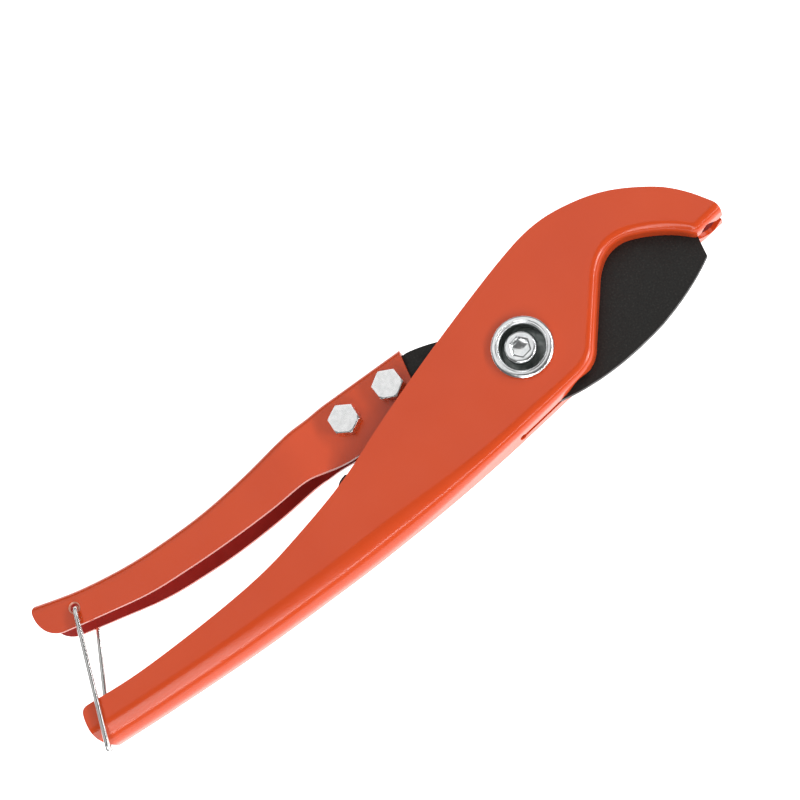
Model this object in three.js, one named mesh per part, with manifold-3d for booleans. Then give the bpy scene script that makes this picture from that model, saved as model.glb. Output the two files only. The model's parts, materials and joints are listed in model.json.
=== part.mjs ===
// One-pivot plastic pipe cutter: a folded sheet-steel body with a hooked head, a blade
// that shears past the hook through a slot, a folded sheet-steel moving handle bolted
// to the blade's tang, and a wire bail that holds the two handles shut.
// Millimetres. X runs along the tool towards the hook, Y towards the moving handle and
// Z along the pivot. The origin is the centre of the pivot screw's end face.
import * as THREE from 'three';
import { mergeVertices } from 'three/addons/utils/BufferGeometryUtils.js';
import Module from 'manifold-3d';

const wasm = await Module();
wasm.setup();

// ---- driving dimensions ------------------------------------------------------------

const SHEET = 1.5;              // folded steel of the body and the moving handle
const BODY_WIDTH = 16;          // outside, cheek to cheek
const BODY_BACK = 8;            // z of the body's rear cheek, outside
const BODY_FRONT = BODY_BACK + BODY_WIDTH;
const MID = BODY_BACK + BODY_WIDTH / 2;
const BODY_BEND = 3.2;          // outside bend radius of the body's folded edge
const HANDLE_WIDTH = 15;        // moving handle, outside
const NECK_WIDTH = 5.2;         // moving handle where it is pressed flat on the tang
const BLADE = 2;                // blade thickness
const SLOT = 2.6;               // slot for the blade in the body's folded edge
const SLOT_END = -15.9;         // x of the small relief hole that ends the slot
const GAP = 0.1;                // clearance between faces that bear on each other
const PIVOT_BARREL = 5;         // radius of the bush's journal
const PIVOT_SHOULDER = 8;       // radius of the bush's thick part
const WASHER = 0.6;             // thrust washer thickness
const SPRING_WIRE = 0.6;        // radius
const SPRING_COIL = 9;          // mean radius
const BAIL_WIRE = 0.75;         // radius
const BAIL_HOLE = [-155.6, 20.9];
const BOLT_CENTRES = { front: [-38.8, 17.2], rear: [-55.6, 16.9] };
const BOLT = 2.5;               // radius of the neck bolts
const SCREW_CENTRE = [-0.5, 0.1];   // the screw sits off centre in the bush's bore
const ROUND = 28;               // facets round a turned piece

// ---- finishes ----------------------------------------------------------------------

const finish = (color, roughness, metalness) =>
  new THREE.MeshStandardMaterial({ color, roughness, metalness });

const ORANGE_PAINT = finish(0xd4552f, 0.38, 0.0);
const BLACK_OXIDE = finish(0x2c2b29, 0.55, 0.6);
const BRIGHT_PLATE = finish(0xd3d6d8, 0.25, 1.0);
const SPRING_STEEL = finish(0x5d6063, 0.35, 1.0);
const BRONZE = finish(0xa9814a, 0.4, 1.0);
const RUBBER = finish(0x1d1d1d, 0.8, 0.0);
const NYLON = finish(0xe9e7de, 0.6, 0.0);

// ---- solids ------------------------------------------------------------------------

/** Turn a closed three.js geometry into a solid. */
function solid(geometry) {
  geometry.deleteAttribute('normal');
  geometry.deleteAttribute('uv');
  const merged = mergeVertices(geometry, 1e-4);
  const index = Array.from(merged.index.array);
  const triangles = [];
  for (let i = 0; i < index.length; i += 3) {
    const [a, b, c] = index.slice(i, i + 3);
    if (a !== b && b !== c && c !== a) triangles.push(a, b, c);
  }
  const mesh = new wasm.Mesh({
    numProp: 3,
    vertProperties: new Float32Array(merged.attributes.position.array),
    triVerts: new Uint32Array(triangles),
  });
  return new wasm.Manifold(mesh);
}

/** A flat outline pulled along Z from z0 to z1. */
function prism(shape, z0, z1, curveSegments = 5) {
  const options = { depth: z1 - z0, bevelEnabled: false, curveSegments };
  return solid(new THREE.ExtrudeGeometry(shape, options).translate(0, 0, z0));
}

/** A solid whose rim is rounded by `radius`, and which lies `inset` inside the outline. */
function roundedPrism(shape, z0, z1, radius, inset) {
  const round = radius - inset;
  const options = {
    depth: z1 - z0 - 2 * radius,
    bevelEnabled: true,
    bevelThickness: round,
    bevelSize: round,
    bevelOffset: -radius,
    bevelSegments: 3,
    curveSegments: 5,
  };
  return solid(new THREE.ExtrudeGeometry(shape, options).translate(0, 0, z0 + radius));
}

/** A solid of revolution about the pivot line through (x, y); profile is [radius, z] pairs. */
function turned(profile, centre = [0, 0], facets = ROUND) {
  const points = profile.map(([r, z]) => new THREE.Vector2(r, z));
  const geometry = new THREE.LatheGeometry(points, facets);
  return solid(geometry.rotateX(Math.PI / 2).translate(centre[0], centre[1], 0));
}

function ring(inner, outer, z0, z1, centre = [0, 0]) {
  const profile = [[inner, z0], [outer, z0], [outer, z1], [inner, z1], [inner, z0]];
  return turned(profile, centre);
}

function rod(radius, z0, z1, centre = [0, 0]) {
  return turned([[0, z0], [radius, z0], [radius, z1], [0, z1]], centre);
}

/** A hexagonal prism; `corner` is the direction of one corner, in degrees. */
function hexagon(acrossFlats, z0, z1, centre, corner) {
  const radius = acrossFlats / Math.sqrt(3);
  const shape = new THREE.Shape();
  for (let i = 0; i < 6; i += 1) {
    const angle = THREE.MathUtils.degToRad(corner + 60 * i);
    const x = centre[0] + radius * Math.cos(angle);
    const y = centre[1] + radius * Math.sin(angle);
    if (i === 0) shape.moveTo(x, y);
    else shape.lineTo(x, y);
  }
  return prism(shape, z0, z1);
}

/** Round wire of the given radius along a curve. */
function wire(curve, radius, steps) {
  const section = new THREE.Shape().absarc(0, 0, radius, 0, 2 * Math.PI, false);
  const options = { steps, extrudePath: curve, bevelEnabled: false, curveSegments: 4 };
  return solid(new THREE.ExtrudeGeometry(section, options));
}

/** A route of straight runs between corner points, with each corner rounded. */
function bentRoute(points, bend) {
  const route = new THREE.CurvePath();
  let start = points[0];
  for (let i = 1; i < points.length - 1; i += 1) {
    const corner = points[i];
    const before = corner.clone().add(start.clone().sub(corner).setLength(bend));
    const after = corner.clone().add(points[i + 1].clone().sub(corner).setLength(bend));
    route.add(new THREE.LineCurve3(start, before));
    route.add(new THREE.QuadraticBezierCurve3(before, corner, after));
    start = after;
  }
  route.add(new THREE.LineCurve3(start, points[points.length - 1]));
  return route;
}

const vectors = (pairs) => pairs.map(([x, y]) => new THREE.Vector2(x, y));

// ---- body --------------------------------------------------------------------------

/** The folded edge: spine, throat and hook tip. The open side is left far outside. */
function foldedEdgeOutline() {
  const shape = new THREE.Shape();
  shape.moveTo(-190, -17.6);
  shape.splineThru(vectors([
    [-168, -19.6], [-146, -21.3], [-118, -22.9], [-90, -23.5], [-70, -23.5],
    [-48, -22.6], [-26, -20.8], [-8, -18.9], [8.5, -16.9],
  ]));
  shape.quadraticCurveTo(14.4, -16.1, 17.2, -12.2);
  shape.lineTo(30.4, 3.6);
  shape.bezierCurveTo(35.2, 9, 40.3, 10.3, 46, 7.5);
  shape.quadraticCurveTo(54.4, 3.4, 60.6, -4.2);
  shape.lineTo(82, -1.8);
  shape.lineTo(82, 60);
  shape.lineTo(-190, 60);
  shape.closePath();
  return shape;
}

/** The cut edges of the body's cheeks, with plenty beyond the folded edge. */
function cheekOutline() {
  const shape = new THREE.Shape();
  shape.moveTo(-168.6, -20.2);
  shape.quadraticCurveTo(-172, -18, -172, -13.2);
  shape.quadraticCurveTo(-171.9, -9.4, -170.9, -7.2);
  shape.quadraticCurveTo(-170.2, -5.8, -168.4, -5.9);
  shape.splineThru(vectors([
    [-150, -7.6], [-125, -7.7], [-104, -6.6], [-88, -4], [-66.5, 1.2],
    [-44, 9.4], [-18.4, 17.7], [9.6, 25.6], [24.5, 28.1], [37, 26.6],
    [48.5, 22.4], [59.5, 14.8], [66, 7.6], [70, 0.9],
  ]));
  shape.quadraticCurveTo(71.4, -1.6, 70.4, -4);
  shape.lineTo(70.4, -40);
  shape.lineTo(-160, -40);
  shape.closePath();
  return shape;
}

function ovalHole(x, halfLength, halfWidth) {
  const shape = new THREE.Shape();
  shape.absellipse(x, -MID, halfLength, halfWidth, 0, 2 * Math.PI, false);
  const geometry = new THREE.ExtrudeGeometry(shape, { depth: 30, bevelEnabled: false });
  return solid(geometry.rotateX(-Math.PI / 2).translate(0, -30, 0));
}

function bodyShell() {
  const folded = foldedEdgeOutline();
  const outer = roundedPrism(folded, BODY_BACK, BODY_FRONT, BODY_BEND, 0);
  const inner = roundedPrism(folded, BODY_BACK, BODY_FRONT, BODY_BEND, SHEET);
  const trimmed = outer.intersect(prism(cheekOutline(), BODY_BACK - 1, BODY_FRONT + 1));
  const slot = new THREE.BoxGeometry(100, 80, SLOT).translate(SLOT_END + 50, 0, MID);
  return trimmed
    .subtract(inner)
    .subtract(solid(slot))
    .subtract(ovalHole(SLOT_END, 0.95, 1.9))
    .subtract(ovalHole(6.8, 5.6, 4.4))
    .subtract(ovalHole(65.6, 4.2, 3.7))
    .subtract(rod(PIVOT_SHOULDER + 0.2, MID, BODY_FRONT + 1))
    .subtract(rod(PIVOT_BARREL + 0.25, BODY_BACK - 1, MID));
}

// ---- moving handle -----------------------------------------------------------------

/** Side view of the moving handle. Below its lower edge the channel is open. */
function handleOutline(drop, inset) {
  const shape = new THREE.Shape();
  shape.moveTo(-33.4 + inset, 9.6 - drop);
  shape.lineTo(-30.2 + inset, 25 - inset);
  shape.lineTo(-57, 25.9 - inset);
  shape.quadraticCurveTo(-64, 26.3 - inset, -74.6, 24.1 - inset);
  shape.splineThru(vectors([
    [-90, 21.9 - inset], [-106, 20.6 - inset], [-121, 20.8 - inset],
    [-136, 22.1 - inset], [-152, 25.2 - inset], [-166.2, 29.6 - inset],
  ]));
  if (inset > 0) {
    shape.lineTo(-190, 36 - inset);
    shape.lineTo(-190, -20);
    shape.lineTo(-33.4 + inset, -20);
    shape.closePath();
    return shape;
  }
  shape.quadraticCurveTo(-168.4, 27.6, -168, 24);
  shape.quadraticCurveTo(-167.4, 18.8, -162.6, 17);
  shape.splineThru(vectors([
    [-150, 13.9], [-134, 10.3], [-119, 8.8], [-104, 8], [-89, 7.8], [-76, 8.3],
    [-69, 7.4], [-60, 6], [-48, 5.8], [-38, 7.2], [-33.4, 9.6],
  ]));
  return shape;
}

/** Plan view of the moving handle, pressed flat at the neck. */
function handlePlan(inset) {
  const wide = HANDLE_WIDTH / 2 - inset;
  const narrow = NECK_WIDTH / 2 - inset;
  const right = -20;
  const left = -190;
  const shape = new THREE.Shape();
  shape.moveTo(right, narrow);
  shape.lineTo(-62, narrow);
  shape.bezierCurveTo(-69, narrow, -69, wide, -80, wide);
  shape.lineTo(left, wide);
  shape.lineTo(left, -wide);
  shape.lineTo(-80, -wide);
  shape.bezierCurveTo(-69, -wide, -69, -narrow, -62, -narrow);
  shape.lineTo(right, -narrow);
  shape.closePath();
  return shape;
}

function planSolid(shape) {
  const options = { depth: 80, bevelEnabled: false, curveSegments: 6 };
  const geometry = new THREE.ExtrudeGeometry(shape, options);
  return solid(geometry.rotateX(Math.PI / 2).translate(0, 60, MID));
}

function movingHandle() {
  const front = MID + HANDLE_WIDTH / 2;
  const back = MID - HANDLE_WIDTH / 2;
  const outer = prism(handleOutline(0, 0), back, front).intersect(planSolid(handlePlan(0)));
  const hollow = prism(handleOutline(20, SHEET), back, front)
    .intersect(planSolid(handlePlan(SHEET)));
  const openFront = new THREE.BoxGeometry(20, 24, NECK_WIDTH - 2 * SHEET)
    .translate(-28, 23.5 - 12, MID);
  let shell = outer.subtract(hollow).subtract(solid(openFront));
  for (const centre of Object.values(BOLT_CENTRES)) {
    shell = shell.subtract(rod(BOLT + 0.25, 0, 40, centre));
  }
  return shell.subtract(rod(1.45, 0, 40, BAIL_HOLE));
}

// ---- blade -------------------------------------------------------------------------

function bladeOutline() {
  const shape = new THREE.Shape();
  shape.moveTo(61.2, -2.4);
  shape.splineThru(vectors([
    [60.2, 2.2], [56, 7.4], [48.5, 12.2], [38, 15], [27, 15], [17, 12.8],
  ]));
  shape.quadraticCurveTo(10, 11.2, 2, 12.6);
  shape.quadraticCurveTo(-8, 14.6, -19, 19.5);
  shape.quadraticCurveTo(-24.5, 22, -29, 22.9);
  shape.lineTo(-61.5, 24);
  shape.quadraticCurveTo(-64.5, 24, -64.5, 21);
  shape.lineTo(-64.5, 13);
  shape.quadraticCurveTo(-64.5, 9.8, -61, 9.6);
  shape.lineTo(-44, 8.4);
  shape.quadraticCurveTo(-28, 6, -19, -3.5);
  shape.quadraticCurveTo(-9.5, -16.4, 1, -18.3);
  shape.quadraticCurveTo(17, -21.9, 37.4, -18.1);
  shape.quadraticCurveTo(50, -15.2, 59.6, -9.9);
  shape.closePath();
  return shape;
}

function blade() {
  let plate = prism(bladeOutline(), MID - BLADE / 2, MID + BLADE / 2);
  plate = plate.subtract(rod(PIVOT_BARREL + 0.15, 0, 40));
  for (const centre of Object.values(BOLT_CENTRES)) {
    plate = plate.subtract(rod(BOLT + 0.2, 0, 40, centre));
  }
  return plate;
}

// ---- pivot -------------------------------------------------------------------------

const FLANGE_TOP = BODY_FRONT + 1.7;
const RECESS_FLOOR = 19.9;
const SHOULDER_Z = MID + BLADE / 2 + WASHER + 2 * GAP;
const WASHER_TOP = BODY_BACK - GAP;
const WASHER_BOTTOM = WASHER_TOP - 1.2;
const NUT_TOP = WASHER_BOTTOM - GAP;

function pivotBush() {
  const bore = 3.7;
  return turned([
    [bore, BODY_BACK + 0.1], [PIVOT_BARREL, BODY_BACK + 0.1],
    [PIVOT_BARREL, SHOULDER_Z], [PIVOT_SHOULDER, SHOULDER_Z],
    [PIVOT_SHOULDER, BODY_FRONT + GAP], [9.45, BODY_FRONT + GAP],
    [9.45, FLANGE_TOP - 0.4], [9.1, FLANGE_TOP], [7.8, FLANGE_TOP],
    [7, FLANGE_TOP - 0.6], [7, RECESS_FLOOR], [bore, RECESS_FLOOR],
    [bore, BODY_BACK + 0.1],
  ]);
}

function pivotScrew() {
  const headBottom = RECESS_FLOOR + GAP;
  const headTop = headBottom + 6;
  const blank = turned([
    [0, 0], [2.5, 0], [3, 0.5], [3, headBottom], [5, headBottom],
    [5, headTop - 0.6], [4.4, headTop], [0, headTop],
  ], SCREW_CENTRE);
  return blank.subtract(hexagon(5, headTop - 3, headTop + 1, SCREW_CENTRE, 10));
}

/** A plain hexagon nut with chamfered corners on its free face. */
function hexNut(acrossFlats, bore, z0, z1, centre, corner) {
  const reach = acrossFlats / Math.sqrt(3);
  const flat = acrossFlats / 2;
  const envelope = turned([
    [0, z0], [flat, z0], [reach, z0 + 0.6], [reach, z1 - 0.6], [flat, z1], [0, z1],
  ], centre);
  return hexagon(acrossFlats, z0, z1, centre, corner)
    .intersect(envelope)
    .subtract(rod(bore, z0 - 1, z1 + 1, centre));
}

function pivotNut() {
  const seat = NUT_TOP - 4;
  const collar = ring(4.1, 4.9, seat - 1.9, seat + 0.2, SCREW_CENTRE);
  return hexNut(10, 3.15, seat, NUT_TOP, SCREW_CENTRE, 30).add(collar);
}

function returnSpring() {
  const turns = 2.49;
  const rise = 3.1;
  const firstAngle = THREE.MathUtils.degToRad(105.8);
  const low = SHOULDER_Z + SPRING_WIRE + 0.05;
  const hook = [-30, 1];
  const points = [
    new THREE.Vector3(hook[0], hook[1], MID - BLADE / 2),
    new THREE.Vector3(hook[0], hook[1], low - 1.2),
    new THREE.Vector3(hook[0] + 1.2, hook[1] + 0.35, low),
    new THREE.Vector3(-16, 5, low),
  ];
  const perTurn = 20;
  const count = Math.round(turns * perTurn);
  for (let i = 0; i <= count; i += 1) {
    const part = i / count;
    const angle = firstAngle - 2 * Math.PI * turns * part;
    points.push(new THREE.Vector3(
      SPRING_COIL * Math.cos(angle), SPRING_COIL * Math.sin(angle), low + rise * part,
    ));
  }
  points.push(new THREE.Vector3(-8, -12.6, low + rise));
  points.push(new THREE.Vector3(-19, -16.8, low + rise));
  return wire(new THREE.CatmullRomCurve3(points, false, 'centripetal'), SPRING_WIRE, 76);
}

// ---- neck bolts, bail and bump stop ------------------------------------------------

const NECK_FRONT = MID + NECK_WIDTH / 2;
const NECK_BACK = MID - NECK_WIDTH / 2;
const LOCK_WASHER = 1.2;
const NECK_NUT_TOP = NECK_BACK - 2 * GAP - LOCK_WASHER;
const NECK_NUT = 4;

function neckBolt(centre, corner) {
  const head = 3.5;
  const flats = 8.6;
  const seat = NECK_FRONT + GAP;
  const dome = turned([
    [0, seat], [flats / 1.7, seat], [flats / 1.7, seat + head - 0.5],
    [flats / 2.05, seat + head], [0, seat + head],
  ], centre);
  return hexagon(flats, seat, seat + head, centre, corner)
    .intersect(dome)
    .add(rod(BOLT, NECK_NUT_TOP - NECK_NUT - 0.9, seat + 0.5, centre));
}

function bail() {
  const x = BAIL_HOLE[0] + 0.5;
  const y = BAIL_HOLE[1] - 0.4;
  const front = BODY_FRONT + BAIL_WIRE + 0.25;
  const back = BODY_BACK - BAIL_WIRE - 0.25;
  const corners = [
    [x, y, MID + 4.4], [x, y, front], [-170, -21.1, front],
    [-176.4, -20.6, back], [x, y, back], [x, y, MID - 4.4],
  ];
  const route = bentRoute(corners.map(([a, b, c]) => new THREE.Vector3(a, b, c)), 2);
  return wire(route, BAIL_WIRE, 84);
}

function bumpStop() {
  const shape = new THREE.Shape();
  shape.moveTo(-69.4, -9);
  shape.lineTo(-64.2, -9);
  shape.lineTo(-64.2, 1.9);
  shape.quadraticCurveTo(-64.2, 2.9, -65.2, 2.9);
  shape.lineTo(-66, 2.8);
  shape.quadraticCurveTo(-68.8, 2.4, -69.4, 0);
  shape.closePath();
  return prism(shape, BODY_BACK + SHEET + 0.3, BODY_FRONT - SHEET - 0.3);
}

// ---- assembly ----------------------------------------------------------------------

const group = new THREE.Group();

function place(name, shape, material) {
  const { numProp, vertProperties, triVerts } = shape.getMesh();
  const geometry = new THREE.BufferGeometry();
  geometry.setAttribute('position', new THREE.BufferAttribute(vertProperties, numProp));
  geometry.setIndex(new THREE.BufferAttribute(triVerts, 1));
  geometry.computeVertexNormals();
  const mesh = new THREE.Mesh(geometry, material);
  mesh.name = name;
  group.add(mesh);
}

place('body_shell', bodyShell(), ORANGE_PAINT);
place('bump_stop', bumpStop(), RUBBER);
place('moving_handle', movingHandle(), ORANGE_PAINT);
place('blade', blade(), BLACK_OXIDE);

place('pivot_bush', pivotBush(), BRIGHT_PLATE);
place('pivot_screw', pivotScrew(), BRIGHT_PLATE);
place('pivot_washer', ring(3.7, 9, WASHER_BOTTOM, WASHER_TOP), BRIGHT_PLATE);
place('pivot_nut', pivotNut(), BRIGHT_PLATE);
place('pivot_nut_insert',
  ring(3.15, 4, NUT_TOP - 5.7, NUT_TOP - 4.1, SCREW_CENTRE), NYLON);
place('return_spring', returnSpring(), SPRING_STEEL);

const washerHole = PIVOT_BARREL + 0.2;
const frontFace = MID + BLADE / 2 + GAP;
const rearFace = MID - BLADE / 2 - GAP;
place('front_thrust_washer', ring(washerHole, 8.3, frontFace, frontFace + WASHER), BRONZE);
place('rear_thrust_washer', ring(washerHole, 8.3, rearFace - WASHER, rearFace), BRONZE);
const spacerTop = rearFace - WASHER - GAP;
place('rear_spacer', ring(washerHole, 8, BODY_BACK + SHEET + GAP, spacerTop), BRIGHT_PLATE);

for (const [end, corner] of [['front', 92], ['rear', 87]]) {
  const centre = BOLT_CENTRES[end];
  const washerTop = NECK_BACK - GAP;
  place(`${end}_neck_bolt`, neckBolt(centre, corner), BRIGHT_PLATE);
  place(`${end}_neck_lock_washer`,
    ring(2.7, 4.4, washerTop - LOCK_WASHER, washerTop, centre), BRIGHT_PLATE);
  place(`${end}_neck_nut`,
    hexNut(8.6, 2.65, NECK_NUT_TOP - NECK_NUT, NECK_NUT_TOP, centre, 0), BRIGHT_PLATE);
}
place('bail_latch', bail(), SPRING_STEEL);

export default group;
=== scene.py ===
"""Looks of a one-pivot plastic pipe cutter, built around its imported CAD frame.

Outlines are in millimetres in the row frame: X along the tool towards the hook, Y towards
the moving handle, Z along the pivot. Meshes are made in metres.
"""
import json
import math

import bmesh
import bpy
from mathutils import Matrix, Vector
from mathutils.geometry import delaunay_2d_cdt


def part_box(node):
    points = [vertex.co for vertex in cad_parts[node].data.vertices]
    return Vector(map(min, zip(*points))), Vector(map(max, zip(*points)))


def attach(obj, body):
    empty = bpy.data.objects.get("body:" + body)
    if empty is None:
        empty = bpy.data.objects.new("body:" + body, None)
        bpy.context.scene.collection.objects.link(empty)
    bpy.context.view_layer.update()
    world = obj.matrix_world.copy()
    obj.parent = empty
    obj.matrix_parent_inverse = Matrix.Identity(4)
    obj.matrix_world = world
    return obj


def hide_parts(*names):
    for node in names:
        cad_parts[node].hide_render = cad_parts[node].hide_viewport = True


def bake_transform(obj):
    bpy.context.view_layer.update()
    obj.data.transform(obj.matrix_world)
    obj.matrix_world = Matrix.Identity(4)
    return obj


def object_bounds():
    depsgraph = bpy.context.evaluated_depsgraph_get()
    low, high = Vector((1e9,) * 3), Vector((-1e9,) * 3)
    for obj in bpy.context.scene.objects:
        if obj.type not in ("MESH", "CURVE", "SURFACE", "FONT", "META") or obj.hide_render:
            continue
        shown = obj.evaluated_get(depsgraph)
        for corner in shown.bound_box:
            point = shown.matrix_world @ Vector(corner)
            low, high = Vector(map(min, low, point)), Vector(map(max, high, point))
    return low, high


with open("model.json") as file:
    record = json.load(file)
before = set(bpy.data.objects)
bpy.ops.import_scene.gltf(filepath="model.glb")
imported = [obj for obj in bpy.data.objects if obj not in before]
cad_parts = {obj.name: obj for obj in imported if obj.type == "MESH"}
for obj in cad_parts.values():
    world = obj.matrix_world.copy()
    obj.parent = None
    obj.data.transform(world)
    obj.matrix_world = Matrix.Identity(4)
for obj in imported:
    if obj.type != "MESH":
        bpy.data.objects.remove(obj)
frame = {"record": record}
cad_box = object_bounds()

# ---- driving dimensions, millimetres ----

MM = 0.001


def box_mm(node):
    """Lowest and highest corner of a CAD node, in millimetres."""
    low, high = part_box(node)
    return low / MM, high / MM


BODY_LOW, BODY_HIGH = box_mm("body_shell")
HANDLE_LOW, HANDLE_HIGH = box_mm("moving_handle")
BLADE_LOW, BLADE_HIGH = box_mm("blade")

SHEET = 1.5                                    # folded steel of body and moving handle
MID = (BODY_LOW.z + BODY_HIGH.z) / 2           # middle plane of the tool
BODY_HALF = (BODY_HIGH.z - BODY_LOW.z) / 2     # middle plane to the outside of a cheek
HANDLE_HALF = (HANDLE_HIGH.z - HANDLE_LOW.z) / 2
NECK_HALF = 2.6                                # moving handle pressed flat on the tang
BLADE_HALF = (BLADE_HIGH.z - BLADE_LOW.z) / 2
STEP = 0.8                                     # spacing of points along a drawn outline
SUPPORT = 0.5                                  # flat strip kept beside a bend
BEND_ROWS = 10
WEB_ROWS = 4
EDGE_BEVEL = 0.2                               # broken edge of cut sheet
TURN_STEPS = 96                                # facets round a turned piece
SLIVER = 0.002                                 # twice the area of a triangle that is left out

SLOT_HALF = 1.15                               # half width of the slot that the blade closes into
RELIEF_X = -15.9                               # relief hole that ends the slot
RELIEF = (1.15, 2.1)                           # its half length and half width
PIVOT_BORE = {1: 8.2, -1: 5.25}                # hole in the front and the rear cheek
BAIL_HOLE = Vector((-155.6, 20.9))
BAIL_HOLE_RADIUS = 1.4
BAIL_DIMPLE_RADIUS = 2.0
BAIL_DIMPLE_DEPTH = 0.3
BAIL_WIRE = 0.75                               # radius
BOLT_CENTRES = {"front": Vector((-38.8, 17.2)), "rear": Vector((-55.6, 16.9))}
BOLT_FLATS = 8.6                               # across the flats of the neck's heads and nuts
BOLT_HEAD = 3.5                                # height of a neck bolt's head
SCREW_CENTRE = Vector((-0.5, 0.1))


# ---- drawing helpers ----

class Outline:
    """A flat outline drawn with lines, curves and splines, kept as closely spaced points."""

    def __init__(self, x, y, step=STEP):
        self.points = [Vector((x, y))]
        self.step = step

    def _count(self, *corners):
        reach = [self.points[-1], *corners]
        length = sum((b - a).length for a, b in zip(reach, reach[1:]))
        return max(1, math.ceil(length / self.step))

    def line(self, x, y):
        start, end = self.points[-1], Vector((x, y))
        count = self._count(end)
        self.points += [start.lerp(end, i / count) for i in range(1, count + 1)]
        return self

    def quad(self, cx, cy, x, y):
        start, control, end = self.points[-1], Vector((cx, cy)), Vector((x, y))
        count = self._count(control, end)
        for i in range(1, count + 1):
            t = i / count
            self.points.append(start.lerp(control, t).lerp(control.lerp(end, t), t))
        return self

    def cubic(self, ax, ay, bx, by, x, y):
        start, a, b, end = self.points[-1], Vector((ax, ay)), Vector((bx, by)), Vector((x, y))
        count = self._count(a, b, end)
        for i in range(1, count + 1):
            t = i / count
            first = start.lerp(a, t).lerp(a.lerp(b, t), t)
            second = a.lerp(b, t).lerp(b.lerp(end, t), t)
            self.points.append(first.lerp(second, t))
        return self

    def spline(self, *pairs):
        """A Catmull-Rom spline from the last point through all the pairs."""
        knots = [self.points[-1], *(Vector(pair) for pair in pairs)]
        for i in range(len(knots) - 1):
            before, start = knots[max(i - 1, 0)], knots[i]
            end, after = knots[i + 1], knots[min(i + 2, len(knots) - 1)]
            leave, arrive = (end - before) / 2, (after - start) / 2
            count = max(1, math.ceil((end - start).length / self.step))
            for j in range(1, count + 1):
                t = j / count
                cube = (2 * start - 2 * end + leave + arrive) * t ** 3
                square = (-3 * start + 3 * end - 2 * leave - arrive) * t ** 2
                self.points.append(cube + square + leave * t + start)
        return self


def circle(centre, radius, count=48, first=0.0):
    angles = [first + 2 * math.pi * i / count for i in range(count)]
    return [centre + radius * Vector((math.cos(a), math.sin(a))) for a in angles]


def smooth(t):
    """0 below 0, 1 above 1, and a smooth rise between."""
    t = min(1.0, max(0.0, t))
    return t * t * (3 - 2 * t)


def hump(x, start, peak, end, height):
    """A smooth hump that is `height` at `peak` and nothing outside start..end."""
    rising = (x - start) / (peak - start)
    falling = (end - x) / (end - peak)
    return height * smooth(min(rising, falling))


def along(curve, value, key, result):
    """Linear look-up on a curve of points: the `result` coordinate where `key` is value."""
    for a, b in zip(curve, curve[1:]):
        low, high = sorted((a[key], b[key]))
        if low <= value <= high and high > low:
            share = (value - a[key]) / (b[key] - a[key])
            return a[result] + share * (b[result] - a[result])
    nearest = min(curve, key=lambda p: abs(p[key] - value))
    return nearest[result]


def inward_normals(path, side):
    """Unit normals of an open path; side 1 is to the left of its direction."""
    normals = []
    for i in range(len(path)):
        tangent = (path[min(i + 1, len(path) - 1)] - path[max(i - 1, 0)]).normalized()
        normals.append(Vector((-tangent.y, tangent.x)) * side)
    return normals


class Mesher:
    """Points and faces of one piece, in millimetres."""

    def __init__(self):
        self.points = []
        self.faces = []
        self.kinds = []

    def add(self, points):
        start = len(self.points)
        self.points += [Vector(p) for p in points]
        return list(range(start, len(self.points)))

    def face(self, indices, kind=0):
        self.faces.append(list(indices))
        self.kinds.append(kind)

    def strips(self, rows, closed=False, kind=0):
        """Quads between successive rows of point numbers."""
        for lower, upper in zip(rows, rows[1:]):
            count = len(lower)
            for i in range(count if closed else count - 1):
                k = (i + 1) % count
                self.face((lower[i], lower[k], upper[k], upper[i]), kind)

    def flat(self, outline, holes, height, inside=(), lines=(), kind=lambda centre: 0):
        """Triangles over a flat outline with holes; height(point) gives each point's z.

        Returns the numbers of the outline's points and of each hole's points.
        """
        loops = [outline, *holes]
        points, edges, spans = [], [], []
        for loop in loops:
            start = len(points)
            points += loop
            count = len(loop)
            edges += [(start + i, start + (i + 1) % count) for i in range(count)]
            spans.append(range(start, start + count))
        for line in lines:
            start = len(points)
            points += line
            edges += [(start + i, start + i + 1) for i in range(len(line) - 1)]
        points += list(inside)
        result = delaunay_2d_cdt(points, edges, [], 0, 1e-5)
        found, triangles = result[0], result[2]
        start = len(self.points)
        self.points += [Vector((p.x, p.y, height(p))) for p in found]
        for triangle in triangles:
            a, b, c = (found[i] for i in triangle)
            centre = (a + b + c) / 3
            if abs((b - a).cross(c - a)) < SLIVER:
                continue
            if encloses(outline, centre) and not any(encloses(h, centre) for h in holes):
                self.face([start + i for i in triangle], kind(centre))
        number = {}
        for i, sources in enumerate(result[3]):
            for source in sources:
                number[source] = start + i
        return [[number[i] for i in span] for span in spans]


def encloses(loop, point):
    """Whether a closed loop of points goes round the point."""
    inside = False
    for a, b in zip(loop, loop[1:] + loop[:1]):
        if (a.y > point.y) != (b.y > point.y):
            if point.x < a.x + (point.y - a.y) / (b.y - a.y) * (b.x - a.x):
                inside = not inside
    return inside


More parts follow.
